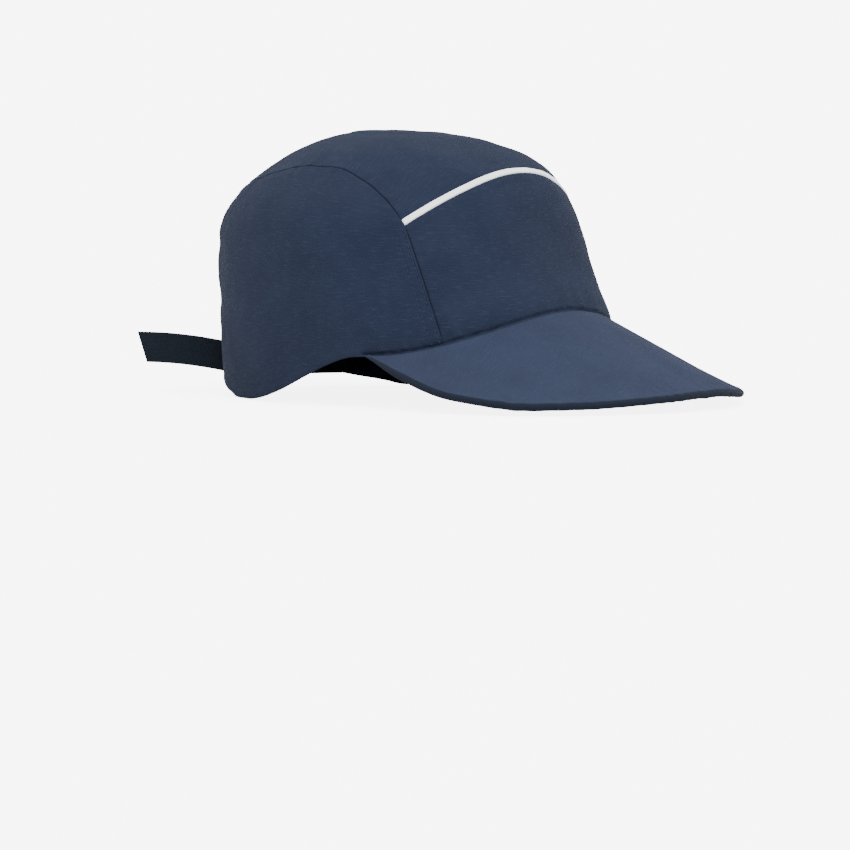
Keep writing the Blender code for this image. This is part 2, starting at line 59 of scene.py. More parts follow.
# The crown's sections: share of its height, then shares of its half width, front, back, middle
crown = {
    "height": 0.1295,
    "halfWidth": 0.0820,
    "front": 0.1200,
    "back": 0.0914,
    "roundness": 2.15,
    "setBack": 0.02969,  # of the whole cap, from where its crown is drawn
    "wall": 0.0014,
    "heartAhead": 0.10,
    "heartUp": 0.31,
    "halvings": 40,
    "probe": 0.0004,
    "sections": (
        (0.000, 0.975, 1.000, 0.970, -0.133),
        (0.185, 1.000, 0.930, 0.982, -0.133),
        (0.325, 1.000, 0.860, 0.987, -0.125),
        (0.455, 0.995, 0.790, 1.002, -0.113),
        (0.585, 0.980, 0.733, 1.004, -0.096),
        (0.695, 0.945, 0.692, 0.955, -0.075),
        (0.790, 0.845, 0.652, 0.830, -0.046),
        (0.870, 0.715, 0.585, 0.665, -0.017),
        (0.935, 0.550, 0.435, 0.470, 0.000),
        (0.980, 0.310, 0.225, 0.262, 0.017),
        (0.995, 0.160, 0.080, 0.158, 0.030),
        (1.000, 0.003, -0.035, 0.052, 0.038),
    ),
}

# Where the five panels meet; topSeam and rim are shares as above, angles in degrees from the front
seams = {
    "frontLowAngle": 46.0,
    "frontHighAngle": 56.0,
    "backLowAngle": 157.0,
    "backBowPower": 2.5,
    "tapeCornerHeight": 0.668,
    "tapeMiddle": (-0.608, 0.850),
    "backMiddle": (0.788, 0.810),
    "crossBowPower": 2.5,
    "rimRestAngle": 132.0,
    "rimRestRound": 0.0014,
    "rimSink": 0.001,
    "openingHeight": 0.0360,
    "openingFullness": 2.4,
    "topSeam": (
        (0.798, -0.348, 0.759),
        (0.767, -0.223, 0.820),
        (0.732, -0.083, 0.861),
        (0.720, 0.109, 0.869),
        (0.683, 0.351, 0.838),
        (0.610, 0.581, 0.788),
    ),
    "rim": (
        (0.00, 1.00),
        (0.10, 0.97),
        (0.25, 0.81),
        (0.38, 0.62),
        (0.63, 0.27),
        (0.85, 0.06),
        (0.92, 0.02),
        (1.03, 0.02),
        (1.14, 0.13),
        (1.30, 0.25),
        (1.42, 0.36),
    ),
}

# The white tape set between the front and the top panel
tape = {
    "width": 0.0032,
    "wall": 0.0012,
    "proud": 0.00040,
    "sink": 0.00045,
    "fullness": 9,
    "wave": 0.00008,
    "waveLength": 0.012,
    "waveSeed": 5,
    "endSink": 0.0004,
    "endRound": 0.0008,
    "beyond": 0.02,
    "columns": 260,
    "rows": 13,
    "probe": 0.01,
    "cornerPower": 6,
}

# The peak; edge rows are turn, spread, reach, fall
peak = {
    "endAngle": 72.0,
    "seamHeight": 0.0450,
    "seamDrop": 0.0200,
    "tuck": 0.0038,
    "endTuck": 0.3,
    "tuckPower": 6,
    "length": 0.0810,
    "fall": 0.0367,
    "thickness": 0.0036,
    "border": 0.0040,
    "recess": 0.0010,
    "edge": (
        (0.000, 0.000, 1.000, 1.000),
        (0.243, -0.020, 0.994, 0.942),
        (0.430, 0.033, 0.947, 0.850),
        (0.590, 0.140, 0.858, 0.735),
        (0.730, 0.235, 0.700, 0.612),
        (0.840, 0.225, 0.472, 0.450),
        (0.920, 0.150, 0.262, 0.232),
        (1.000, 0.044, 0.049, 0.020),
    ),
}

# Places are laid onto the crown along lines from a point inside it
heart = np.array((0.0, -crown["heartAhead"] * crown["front"], crown["heartUp"] * crown["height"]))
standing = np.array((0.0, crown["setBack"], 0.0))


# Smooth curve through a table's column; a low ease keeps it from overshooting
def through(positions, values, at, ease=3.0):
    step = np.diff(positions)
    slope = np.diff(values) / step
    tangent = np.concatenate((slope[:1], np.zeros(len(slope) - 1), slope[-1:]))
    for row in range(1, len(slope)):
        mean = (slope[row - 1] * step[row] + slope[row] * step[row - 1]) / (step[row] + step[row - 1])
        bound = ease * min(abs(slope[row - 1]), abs(slope[row]))
        tangent[row] = np.clip(mean, -bound, bound)
    at = np.clip(at, positions[0], positions[-1])
    row = np.clip(np.searchsorted(positions, at, side="right") - 1, 0, len(step) - 1)
    t = (at - positions[row]) / step[row]
    leaving = tangent[row] * step[row] * (t - 2 * t**2 + t**3)
    arriving = tangent[row + 1] * step[row] * (t**3 - t**2)
    return values[row] + (values[row + 1] - values[row]) * (3 * t**2 - 2 * t**3) + (leaving + arriving)


def unit(vectors):
    return vectors / np.linalg.norm(vectors, axis=-1, keepdims=True)


def eased(low, high, value):
    t = np.clip((value - low) / (high - low), 0.0, 1.0)
    return t * t * (3 - 2 * t)


def hump(value, middle, width):
    return np.exp(-(((value - middle) / width) ** 2))


# One at an edge and falling to nothing over a radius, as a rounded corner does
def cornerRound(distance, radius):
    return 1 - np.sqrt(np.clip(1 - (1 - np.clip(distance / radius, 0, 1)) ** 2, 0, 1))


# Places from end to end, each stretch between two ends with its own count
def graded(ends, counts):
    stretches = [np.linspace(ends[row], ends[row + 1], count) for row, count in enumerate(counts)]
    return np.concatenate([stretch[:-1] for stretch in stretches[:-1]] + stretches[-1:])


def lengthsAlong(line):
    return np.concatenate(([0.0], np.cumsum(np.linalg.norm(np.diff(line, axis=0), axis=1))))


def readLine(at, lengths, line):
    return np.stack([np.interp(at, lengths, line[:, axis]) for axis in range(3)], axis=-1)


def mirrored(points):
    return points * np.array((-1.0, 1.0, 1.0))


def sectionAt(height):
    rows = np.array(crown["sections"])
    share = np.asarray(height, float) / crown["height"]
    width = crown["halfWidth"] * through(rows[:, 0], rows[:, 1], share)
    front = -crown["front"] * through(rows[:, 0], rows[:, 2], share)
    back = crown["back"] * through(rows[:, 0], rows[:, 3], share)
    middle = crown["front"] * through(rows[:, 0], rows[:, 4], share)
    return width, front, back, middle


# Below 1 inside a section's oval, above 1 outside
def ovalRatio(side, along, width, reach):
    return np.abs(side / width) ** crown["roundness"] + np.abs(along / reach) ** crown["roundness"]


# A point of the crown's outside at a height, at an angle round from the front towards +X
def wallPoint(angle, height):
    width, front, back, middle = sectionAt(height)
    side = np.sin(np.radians(angle))
    ahead = np.cos(np.radians(angle))
    reach = np.where(ahead > 0, middle - front, back - middle)
    radius = ovalRatio(side, ahead, width, reach) ** (-1.0 / crown["roundness"])
    up = np.broadcast_to(height, radius.shape)
    return np.stack((radius * side, middle - radius * ahead, up), axis=-1)


# Below 1 inside the crown, above 1 outside
def crownRatio(points):
    width, front, back, middle = sectionAt(points[..., 2])
    along = points[..., 1] - middle
    reach = np.where(along < 0, middle - front, back - middle)
    ratio = ovalRatio(points[..., 0], along, width, reach)
    return np.where(points[..., 2] > crown["height"], 2.0, ratio)


def ontoCrown(points):
    ray = unit(points - heart)
    near = np.zeros(points.shape[:-1])
    far = np.full(points.shape[:-1], crown["front"] + crown["height"] + crown["back"])
    for _ in range(crown["halvings"]):
        middle = (near + far) / 2
        inside = crownRatio(heart + ray * middle[..., None]) < 1.0
        near = np.where(inside, middle, near)
        far = np.where(inside, far, middle)
    return heart + ray * near[..., None]


def crownNormal(points):
    steps = np.eye(3) * crown["probe"]
    rises = [crownRatio(points + step) - crownRatio(points - step) for step in steps]
    return unit(np.stack(rises, axis=-1))


def peakSeamHeight(turn):
    return peak["seamHeight"] - peak["seamDrop"] * np.sin(np.pi / 2 * np.clip(turn, -1, 1)) ** 2


def peakSeam(turn):
    return wallPoint(turn * peak["endAngle"], peakSeamHeight(turn))


# Lower edge of the panels: tucked behind the peak, then falling to the floor
def lowerEdge(angle):
    rim = np.array(seams["rim"])
    turn = np.abs(angle) / peak["endAngle"]
    loss = (1.0 - peak["endTuck"]) * np.clip(turn, 0, 1) ** peak["tuckPower"]
    tucked = peakSeamHeight(turn) - peak["tuck"] * (1.0 - loss)
    share = (np.abs(angle) - peak["endAngle"]) / (seams["rimRestAngle"] - peak["endAngle"])
    drop = peakSeamHeight(1.0) - peak["endTuck"] * peak["tuck"] + seams["rimSink"]
    falling = drop * through(rim[:, 0], rim[:, 1], share) - seams["rimSink"]
    resting = (falling + np.hypot(falling, seams["rimRestRound"])) / 2
    return wallPoint(angle, np.where(turn < 1.0, tucked, resting))


def tapeCorner():
    return wallPoint(seams["frontHighAngle"], np.array(seams["tapeCornerHeight"] * crown["height"]))


# These seams are drawn on the +X side and run from 0 to 1
def frontSeam(share):
    low = lowerEdge(np.array(seams["frontLowAngle"]))
    angle = seams["frontLowAngle"] + (seams["frontHighAngle"] - seams["frontLowAngle"]) * share
    return wallPoint(angle, low[2] + (tapeCorner()[2] - low[2]) * share)


def topSeam(share):
    stations = [tapeCorner()]
    for side, along, up in seams["topSeam"]:
        reach = crown["front"] if along < 0 else crown["back"]
        place = np.array((side * crown["halfWidth"], along * reach, up * crown["height"]))
        stations.append(ontoCrown(place))
    stations = np.array(stations)
    positions = lengthsAlong(stations) / lengthsAlong(stations)[-1]
    spread = [through(positions, stations[:, axis], share) for axis in range(3)]
    return ontoCrown(np.stack(spread, axis=-1))


def backSeam(share):
    corner = topSeam(np.array(1.0))
    cornerAngle = math.degrees(math.atan2(corner[0], sectionAt(corner[2])[3] - corner[1]))
    bow = (1.0 - share) ** seams["backBowPower"]
    angle = seams["backLowAngle"] + (cornerAngle - seams["backLowAngle"]) * bow
    foot = lowerEdge(np.array(seams["backLowAngle"]))[2]
    return wallPoint(angle, corner[2] + (foot - corner[2]) * share)


# A seam over the crown, bowed between a corner and its mirror image; side runs from -1 to 1
def crossSeam(corner, along, height, side):
    bowed = along + (corner[1] - along) * np.abs(side) ** seams["crossBowPower"]
    rising = height + (corner[2] - height) * side**2
    return ontoCrown(np.stack((corner[0] * side, bowed, rising), axis=-1))


def tapeLine(side):
    along, up = seams["tapeMiddle"]
    return crossSeam(tapeCorner(), along * crown["front"], up * crown["height"], side)


def backLine(side):
    along, up = seams["backMiddle"]
    return crossSeam(topSeam(np.array(1.0)), along * crown["back"], up * crown["height"], side)


def seamLength(seam):
    return lengthsAlong(seam(np.linspace(0.0, 1.0, 40)))[-1]


# The tape's edge at a distance from its middle line, ending on the seams that it meets
def tapeEdge(side, distance):
    def offset(at):
        tangent = unit(tapeLine(at + tape["probe"]) - tapeLine(at - tape["probe"]))
        return tapeLine(at) + np.cross(crownNormal(tapeLine(at)), tangent) * distance

    seam = topSeam if distance > 0 else frontSeam
    start = abs(distance) / seamLength(seam)
    end = seam(np.array(start if distance > 0 else 1.0 - start))
    corner = tapeLine(np.array(1.0))
    tangent = unit(corner - tapeLine(np.array(1.0 - tape["probe"])))
    miss = end - corner - np.cross(crownNormal(corner), tangent) * distance
    pull = np.abs(side[..., None]) ** tape["cornerPower"]
    facing = np.stack((np.sign(side), side * 0 + 1, side * 0 + 1), axis=-1)
    return ontoCrown(offset(side) + pull * miss * facing)


# Fills the patch between four edge curves and lays it on the crown
def patch(bottom, top, left, right):
    corners = [curve(np.array(end)) for curve in (bottom, top) for end in (0.0, 1.0)]

    def place(across, up):
        u = across[..., None]
        v = up[..., None]
        ruled = (1 - v) * bottom(across) + v * top(across) + (1 - u) * left(up) + u * right(up)
        twice = (1 - u) * (1 - v) * corners[0] + u * (1 - v) * corners[1]
        return ontoCrown(ruled - twice - (1 - u) * v * corners[2] - u * v * corners[3])

    return place


# A curve read once at many places, so that a big grid can look it up quickly
def drawn(curve, count=500):
    at = np.linspace(0.0, 1.0, count)
    points = curve(at)
    return lambda share: readLine(share, at, points)


# Distance from a line, and how far along it the nearest place is
def nearLine(line, points):
    flat = points.reshape(-1, 3)
    steps = np.diff(line, axis=0)
    starts = lengthsAlong(line)
    tangent = unit(np.concatenate((steps, steps[-1:])))
    apart = (flat**2).sum(1)[:, None] - 2 * flat @ line.T + (line**2).sum(1)[None, :]
    nearest = apart.argmin(axis=1)
    gap = flat - line[nearest]
    along = (gap * tangent[nearest]).sum(1)
    ended = ((nearest == 0) & (along < 0)) | ((nearest == len(line) - 1) & (along > 0))
    along = np.where(ended, 0.0, along)
    distance = np.linalg.norm(gap - tangent[nearest] * along[:, None], axis=1)
    return distance.reshape(points.shape[:-1]), (starts[nearest] + along).reshape(points.shape[:-1])


# Waves over a panel and along a seam: their number, how their lengths vary, and what the sum is
# divided by to stay about one high
panelWaves = {"count": 14, "lengths": (0.7, 1.5), "level": 3.7}
lineWaves = {"count": 6, "lengths": (0.6, 1.7), "level": 2.4}


def unevenness(points, length, seed):
    dice = np.random.default_rng(seed)
    total = np.zeros(points.shape[:-1])
    for _ in range(panelWaves["count"]):
        wave = unit(dice.normal(size=3)) * 2 * np.pi / (length * dice.uniform(*panelWaves["lengths"]))
        total += np.sin(points @ wave + dice.uniform(0, 2 * np.pi))
    return total / panelWaves["level"]


def alongWave(along, length, seed):
    dice = np.random.default_rng(seed)
    total = np.zeros(np.shape(along))
    for _ in range(lineWaves["count"]):
        waveLength = length * dice.uniform(*lineWaves["lengths"])
        total += np.sin(along * 2 * np.pi / waveLength + dice.uniform(0, 2 * np.pi))
    return total / lineWaves["level"]


print("seams drawn")

# How the cloth rises and sinks at a seam: groove at the seam, fold of the turned-in allowance up to
# a width, rows of stitches pulling it down, small puckers and slack along the seam
overSeam = {
    "step": 0.00040,
    "fall": 0.00110,
    "round": 0.00065,
    "rows": (0.0017, 0.0056),
    "pucker": 0.00013,
    "foldWidth": 0.0066,
    "slack": 0.00010,
}
underSeam = {
    "step": 0.0,
    "fall": 0.00070,
    "round": 0.00120,
    "rows": (),
    "pucker": 0.00016,
    "foldWidth": 0.0040,
    "slack": 0.00010,
}
pressedSeam = {
    **underSeam,
    "step": 0.00014,
    "fall": 0.00085,
    "round": 0.00090,
    "pucker": 0.00018,
    "foldWidth": 0.0050,
    "slack": 0.00020,
}
tapedSeam = {
    **underSeam,
    "step": 0.00008,
    "fall": 0.00060,
    "round": 0.00080,
    "pucker": 0.00010,
    "foldWidth": 0.0030,
    "slack": 0.0,
}
besidePeak = {
    **underSeam,
    "step": 0.00030,
    "fall": 0.00180,
    "round": 0.00190,
    "pucker": 0.00034,
    "foldWidth": 0.0110,
    "slack": 0.00030,
}
rearOverSeam = {**overSeam, "rows": (0.0017,), "pucker": 0.00016, "slack": 0.00036}
rearUnderSeam = {**underSeam, "slack": 0.00036}

softness = {
    "dent": 0.00055,
    "dentLength": 0.060,
    "ripple": 0.00010,
    "rippleLength": 0.016,
    "calmWidth": 0.006,
    "puckerLength": 0.0075,
    "puckerReach": 0.0055,
    "puckerStart": 0.0015,
    "slackLength": 0.021,
    "slackReach": 0.012,
    "slackSeed": 5,
    "foldFade": 1.6,
    "stitchPull": 0.00022,
    "stitchPullWidth": 0.0005,
}


def seamRelief(form, distance, along, seed):
    foldEnd = form["foldWidth"] * softness["foldFade"]
    fold = form["step"] * (1 - eased(form["foldWidth"], foldEnd, distance))
    pulls = [hump(distance, row, softness["stitchPullWidth"]) for row in form["rows"]]
    rows = sum(softness["stitchPull"] * pull for pull in pulls)
    pucker = form["pucker"] * alongWave(along, softness["puckerLength"], seed)
    pucker = pucker * np.exp(-distance / softness["puckerReach"])
    slack = form["slack"] * alongWave(along, softness["slackLength"], softness["slackSeed"])
    slack = slack * np.exp(-distance / softness["slackReach"])
    sunk = fold - form["fall"] * cornerRound(distance, form["round"]) - rows
    return sunk + slack + pucker * eased(0.0, softness["puckerStart"], distance)


def relief(points, edges, seed):
    total = softness["dent"] * unevenness(points, softness["dentLength"], seed)
    total += softness["ripple"] * unevenness(points, softness["rippleLength"], seed + 1)
    for number, (line, form) in enumerate(edges):
        distance, along = nearLine(line, points)
        calmed = total * eased(0.0, softness["calmWidth"], distance)
        total = calmed + seamRelief(form, distance, along, seed + number)
    return total


# A panel's grid: the step inside it, and the places beside its seams in millimetres from them
clothGrid = {
    "step": 0.0014,
    "beside": (0, 0.2, 0.45, 0.75, 1.1, 1.45, 1.75, 2.1, 2.6, 3.3, 4.1, 4.8, 5.3, 5.7, 6.2, 7.0, 8.2),
}


# Shares of a width, crowded towards both ends where the seams are
def crowded(width):
    close = np.array(clothGrid["beside"]) * 0.001
    count = int(round((width - 2 * close[-1]) / clothGrid["step"]))
    between = np.linspace(close[-1], width - close[-1], count + 1)[1:-1]
    return np.concatenate((close, between, (width - close)[::-1])) / width


# Turns angles seen from the heart into lengths of cloth
clothRadius = {"round": 0.088, "up": 0.095, "over": 0.090}


# Weave directions on a panel: round the crown and up it, or over the top
def clothPlaces(points, facing):
    away = points - heart
    if facing == "top":
        side = np.arctan2(away[..., 0], away[..., 2])
        along = np.arctan2(away[..., 1], away[..., 2])
        return np.stack((side, along), axis=-1) * clothRadius["over"]
    ahead = away[..., 1] if facing == "back" else -away[..., 1]
    turn = np.arctan2(away[..., 0], ahead)
    rise = np.arctan2(away[..., 2], np.hypot(away[..., 0], away[..., 1]))
    return np.stack((turn * clothRadius["round"], rise * clothRadius["up"]), axis=-1)


# A closed mesh from rings of points; each ring is closed and the first and last are capped
def rings(name, points, places, surface, nodes, tones=None):
    count, around = points.shape[:2]
    verts = (points + standing).reshape(-1, 3)
    first = np.arange(count - 1)[:, None] * around + np.arange(around)[None, :]
    second = np.arange(count - 1)[:, None] * around + (np.arange(around)[None, :] + 1) % around
    quads = np.stack((first, second, second + around, first + around), axis=-1).reshape(-1, 4)
    faces = quads.tolist()
    faces.append(list(range(around))[::-1])
    faces.append(list(range((count - 1) * around, count * around)))
    piece = finished(name, verts, faces, places.reshape(-1, 2), surface, nodes)
    # The tones, when given, are painted shade stored on the points for the material to darken them
    if tones is not None:
        piece.data.attributes.new("paintedShade", "FLOAT", "POINT").data.foreach_set("value", tones.ravel())
    return piece


# A closed shell from an outer and an inner grid of points
def shell(name, outer, inner, places, surface, nodes):
    rows, columns = outer.shape[:2]
    verts = np.concatenate((outer.reshape(-1, 3), inner.reshape(-1, 3))) + standing
    grid = np.arange(rows * columns).reshape(rows, columns)
    quads = np.stack((grid[:-1, :-1], grid[1:, :-1], grid[1:, 1:], grid[:-1, 1:]), axis=-1)
    quads = quads.reshape(-1, 4)
    border = np.concatenate((grid[0, :-1], grid[:-1, -1], grid[-1, :0:-1], grid[:0:-1, 0]))
    ahead = np.roll(border, -1)
    deep = rows * columns
    rim = np.stack((border, ahead, ahead + deep, border + deep), axis=-1)
    faces = np.concatenate((quads, quads[:, ::-1] + deep, rim)).tolist()
    bothPlaces = np.concatenate((places.reshape(-1, 2),) * 2)
    return finished(name, verts, faces, bothPlaces, surface, nodes)


def finished(name, verts, faces, places, surface, nodes):
    mesh = bpy.data.meshes.new(name)
    mesh.from_pydata(verts.tolist(), [], faces)
    mesh.update()
    centre = Vector(verts.mean(axis=0))
    volume = sum(face.area * face.normal.dot(face.center - centre) for face in mesh.polygons)
    if volume < 0:
        mesh.flip_normals()
    corners = np.zeros(len(mesh.loops), dtype=np.int32)
    mesh.loops.foreach_get("vertex_index", corners)
    layer = mesh.uv_layers.new(name="weave")
    layer.data.foreach_set("uv", places[corners].ravel())
    piece = bpy.data.objects.new(name, mesh)
    bpy.context.scene.collection.objects.link(piece)
    mesh.materials.append(surface)
    mesh.polygons.foreach_set("use_smooth", np.ones(len(mesh.polygons), dtype=bool))
    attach(piece, "root")
    if nodes:
        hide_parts(*nodes)
    print("made", name, len(mesh.polygons), "faces")
    return piece


# Materials

def addNode(tree, kind, values=None, **settings):
    made = tree.nodes.new(kind)
    for key, value in settings.items():
        setattr(made, key, value)
    for key, value in (values or {}).items():
        if isinstance(value, bpy.types.NodeSocket):
            tree.links.new(value, made.inputs[key])
        else:
            made.inputs[key].default_value = value
    return made


def mathNode(tree, operation, first, second=0.0, third=0.0):
    values = {0: first, 1: second, 2: third}
    return addNode(tree, "ShaderNodeMath", values, operation=operation).outputs[0]


def scaled(tree, places, scale):
    return addNode(tree, "ShaderNodeVectorMath", {0: places, 1: scale}, operation="MULTIPLY").outputs[0]


def noise(tree, places, scale, detail, roughness=0.5):
    values = {"Vector": places, "Scale": scale, "Detail": detail, "Roughness": roughness}
    return addNode(tree, "ShaderNodeTexNoise", values).outputs["Fac"]


def blend(tree, share, first, second):
    return addNode(tree, "ShaderNodeMix", {0: share, 6: first, 7: second}, data_type="RGBA").outputs[2]


# The sum of several patterns, each with its own weight
def weighed(tree, parts):
    total = mathNode(tree, "MULTIPLY", *parts[0])
    for pattern, weight in parts[1:]:
        total = mathNode(tree, "ADD", total, mathNode(tree, "MULTIPLY", pattern, weight))
    return total


def addBump(tree, shader, height, strength, depth):
    bump = addNode(tree, "ShaderNodeBump", {"Height": height, "Strength": strength, "Distance": depth})
    tree.links.new(bump.outputs["Normal"], shader.inputs["Normal"])


def startMaterial(name, colour, roughness):
    material = bpy.data.materials.new(name)
    material.use_nodes = True
    material.diffuse_color = (*colour, 1.0)
    shader = material.node_tree.nodes["Principled BSDF"]
    shader.inputs["Roughness"].default_value = roughness
    return material, material.node_tree, shader


# Woven cloth: crossing threads, thicker threads that run across it, and uneven dye
def wovenCloth(name, look):
    material, tree, shader = startMaterial(name, look["light"], look["roughness"])
    places = addNode(tree, "ShaderNodeUVMap", uv_map="weave").outputs["UV"]
    perThread = (2 * math.pi / look["pitch"],) * 3
    threads = addNode(tree, "ShaderNodeSeparateXYZ", {0: scaled(tree, places, perThread)})
    warp = mathNode(tree, "SINE", threads.outputs["X"])
    weft = mathNode(tree, "SINE", threads.outputs["Y"])
    crossing = mathNode(tree, "MULTIPLY_ADD", mathNode(tree, "MULTIPLY", warp, weft), 0.5, 0.5)
    slub = noise(tree, scaled(tree, places, (look["slubAlong"], look["slubUp"], 1.0)), 1.0, 2.0, 0.55)
    slubRange = {"Value": slub, "From Min": look["slubFrom"], "From Max": look["slubTo"]}
    slubs = addNode(tree, "ShaderNodeMapRange", slubRange).outputs["Result"]
    fuzz = noise(tree, places, look["fuzzScale"], 1.0)
    dye = noise(tree, places, look["dyeScale"], 3.0, 0.6)
    tones = ((crossing, look["threadTone"]), (slubs, look["slubTone"]), (dye, look["dyeTone"]))
    share = weighed(tree, (*tones, (fuzz, look["fuzzTone"])))
    colour = blend(tree, share, (*look["dark"], 1.0), (*look["light"], 1.0))
    # Painted shade: where a look has an edge colour, the cloth is darkened towards it by a value stored
    # on the piece's points
    if "edge" in look:
        paintedShade = addNode(tree, "ShaderNodeAttribute", attribute_name="paintedShade").outputs["Fac"]
        colour = blend(tree, paintedShade, colour, (*look["edge"], 1.0))
    tree.links.new(colour, shader.inputs["Base Color"])
    height = weighed(tree, ((crossing, 1.0), (slubs, look["slubHeight"]), (fuzz, look["fuzzHeight"])))
    addBump(tree, shader, height, look["bump"], look["threadHeight"])
    shader.inputs["Sheen Weight"].default_value = look["sheen"]
    shader.inputs["Sheen Roughness"].default_value = look["sheenRoughness"]
    shader.inputs["Specular IOR Level"].default_value = look["specular"]
    return material


clothLook = {
    "dark": (0.0057, 0.0088, 0.0188),
    "light": (0.0188, 0.0258, 0.0512),
    "roughness": 0.9,
    "pitch": 0.00052,
    "threadTone": 0.25,
    "threadHeight": 0.00018,
    "slubAlong": 170.0,
    "slubUp": 1150.0,
    "slubFrom": 0.53,
    "slubTo": 0.74,
    "slubTone": 0.42,
    "slubHeight": 1.3,
    "dyeScale": 38.0,
    "dyeTone": 0.55,
    "fuzzScale": 2600.0,
    "fuzzTone": 0.25,
    "fuzzHeight": 0.8,
    "bump": 0.6,
    "sheen": 0.015,
    "sheenRoughness": 0.55,
    "specular": 0.08,
}
# The peak's dark and light colours are lighter than the crown cloth's: painted light and sheen on the
# peak's upturned top
peakLook = {
    **clothLook,
    "dark": (0.0110, 0.0152, 0.0310),
    "light": (0.0285, 0.0375, 0.0710),
    # edge: painted shade for the peak's rolled edge and the underside of its cover
    "edge": (0.0085, 0.0120, 0.0210),
    "slubTone": 0.25,
}
underLook = {
    **clothLook,
    "dark": (0.0080, 0.0110, 0.0190),
    "light": (0.0240, 0.0310, 0.0500),
}
threadLook = {
    **clothLook,
    "dark": (0.016, 0.023, 0.046),
    "light": (0.030, 0.041, 0.072),
    "pitch": 0.0003,
    "slubTone": 0.1,
}
tapeLook = {
    **clothLook,
    "dark": (0.90, 0.92, 0.92),
    "light": (0.96, 0.97, 0.97),
    "roughness": 0.75,
    "pitch": 0.0006,
    "slubTone": 0.1,
    "bump": 0.3,
}
webbingLook = {
    **clothLook,
    "dark": (0.0024, 0.0038, 0.0066),
    "light": (0.0100, 0.0145, 0.0235),
    "roughness": 0.75,
    "pitch": 0.0011,
    "threadHeight": 0.00025,
    "slubTone": 0.15,
    "bump": 0.8,
}
navyCloth = wovenCloth("navyCloth", clothLook)
peakCloth = wovenCloth("navyPeakCloth", peakLook)
underCloth = wovenCloth("navyUnderCloth", underLook)
threadSurface = wovenCloth("navyThread", threadLook)
whiteTape = wovenCloth("whiteTape", tapeLook)
navyWebbing = wovenCloth("navyWebbing", webbingLook)


def mouldedPlastic(name, look):
    material, tree, shader = startMaterial(name, look["colour"], look["roughness"])
    where = addNode(tree, "ShaderNodeTexCoord").outputs["Object"]
    grain = noise(tree, where, look["grain"], 2.0)
    colour = blend(tree, grain, (*look["colour"], 1.0), (*look["worn"], 1.0))
    tree.links.new(colour, shader.inputs["Base Color"])
    addBump(tree, shader, grain, look["bump"], look["grainHeight"])
    shader.inputs["Specular IOR Level"].default_value = look["specular"]
    return material


plasticLook = {
    "colour": (0.003, 0.003, 0.004),
    "worn": (0.006, 0.006, 0.007),
    "roughness": 0.55,
    "grain": 1800.0,
    "grainHeight": 0.00008,
    "bump": 0.25,
    "specular": 0.25,
}
blackPlastic = mouldedPlastic("blackPlastic", plasticLook)
print("materials made")

# The five panels: rough size of each grid, and the seed of its dents
panels = {
    "frontPanel": {"facing": "front", "size": (0.130, 0.075), "seed": 11},
    "topPanel": {"facing": "top", "size": (0.140, 0.160), "seed": 23},
    "backPanel": {"facing": "back", "size": (0.080, 0.085), "seed": 37},
    "sidePanelRight": {"facing": "side", "size": (0.200, 0.090), "seed": 51},
    "sidePanelLeft": {"facing": "side", "size": (0.200, 0.090), "seed": 67},
}
hem = {
    "startAngle": 2.0,  # behind the peak's end
    "peakFrom": 0.55,  # share of the peak's turn where the side panel meets it
    "round": 0.0007,
    "drop": 0.0006,
    "thinning": 0.85,
    "ridge": 0.00015,
    "ridgeAt": 0.0022,
    "ridgeWidth": 0.0012,
}

frontLine = drawn(frontSeam)
topLine = drawn(topSeam)
rearLine = drawn(backSeam)
lineShares = np.linspace(0.0, 1.0, 320)
frontTrim = 1.0 - tape["width"] / 2 / seamLength(frontSeam)
topTrim = tape["width"] / 2 / seamLength(topSeam)
tapeLow = drawn(lambda u: tapeEdge(2 * u - 1, -tape["width"] / 2))
tapeHigh = drawn(lambda u: tapeEdge(2 * u - 1, tape["width"] / 2))
backLow = drawn(lambda u: backLine(2 * u - 1))
peakRoot = peakSeam(np.linspace(-1.0, 1.0, 500))


# Lays a panel on its patch of the crown; the hemmed line is a free edge of the cloth
def sewPanel(name, place, edges, node, hemmed=None, flip=False):
    panel = panels[name]
    across, up = np.meshgrid(*(crowded(width) for width in panel["size"]), indexing="ij")
    base = place(across, up)
    normal = crownNormal(base)
    lift = relief(base, edges, panel["seed"])
    wall = np.full(lift.shape, crown["wall"])
    if hemmed is not None:
        distance, along = nearLine(hemmed, base)
        roll = cornerRound(distance, hem["round"])
        ridge = hem["ridge"] * hump(distance, hem["ridgeAt"], hem["ridgeWidth"])
        lift = lift - hem["drop"] * roll + ridge
        wall = wall * (1 - hem["thinning"] * roll)
    outer = base + normal * lift[..., None]
    inner = outer - normal * wall[..., None]
    if flip:
        outer = mirrored(outer)
        inner = mirrored(inner)
    places = clothPlaces(outer, panel["facing"])
    shell(name, outer, inner, places, navyCloth, [node])


frontPlace = patch(
    drawn(lambda u: lowerEdge((2 * u - 1) * seams["frontLowAngle"])),
    tapeLow,
    lambda v: mirrored(frontLine(v * frontTrim)),
    lambda v: frontLine(v * frontTrim),
)
frontEdges = (
    (frontLine(lineShares), underSeam),
    (mirrored(frontLine(lineShares)), underSeam),
    (tapeLow(lineShares), tapedSeam),
    (peakRoot, besidePeak),
)
sewPanel("frontPanel", frontPlace, frontEdges, "front_panel")

topPlace = patch(
    tapeHigh,
    backLow,
    lambda v: mirrored(topLine(topTrim + v * (1 - topTrim))),
    lambda v: topLine(topTrim + v * (1 - topTrim)),
)
topEdges = (
    (topLine(lineShares), pressedSeam),
    (mirrored(topLine(lineShares)), pressedSeam),
    (tapeHigh(lineShares), tapedSeam),
    (backLow(lineShares), pressedSeam),
)
sewPanel("topPanel", topPlace, topEdges, "top_panel")


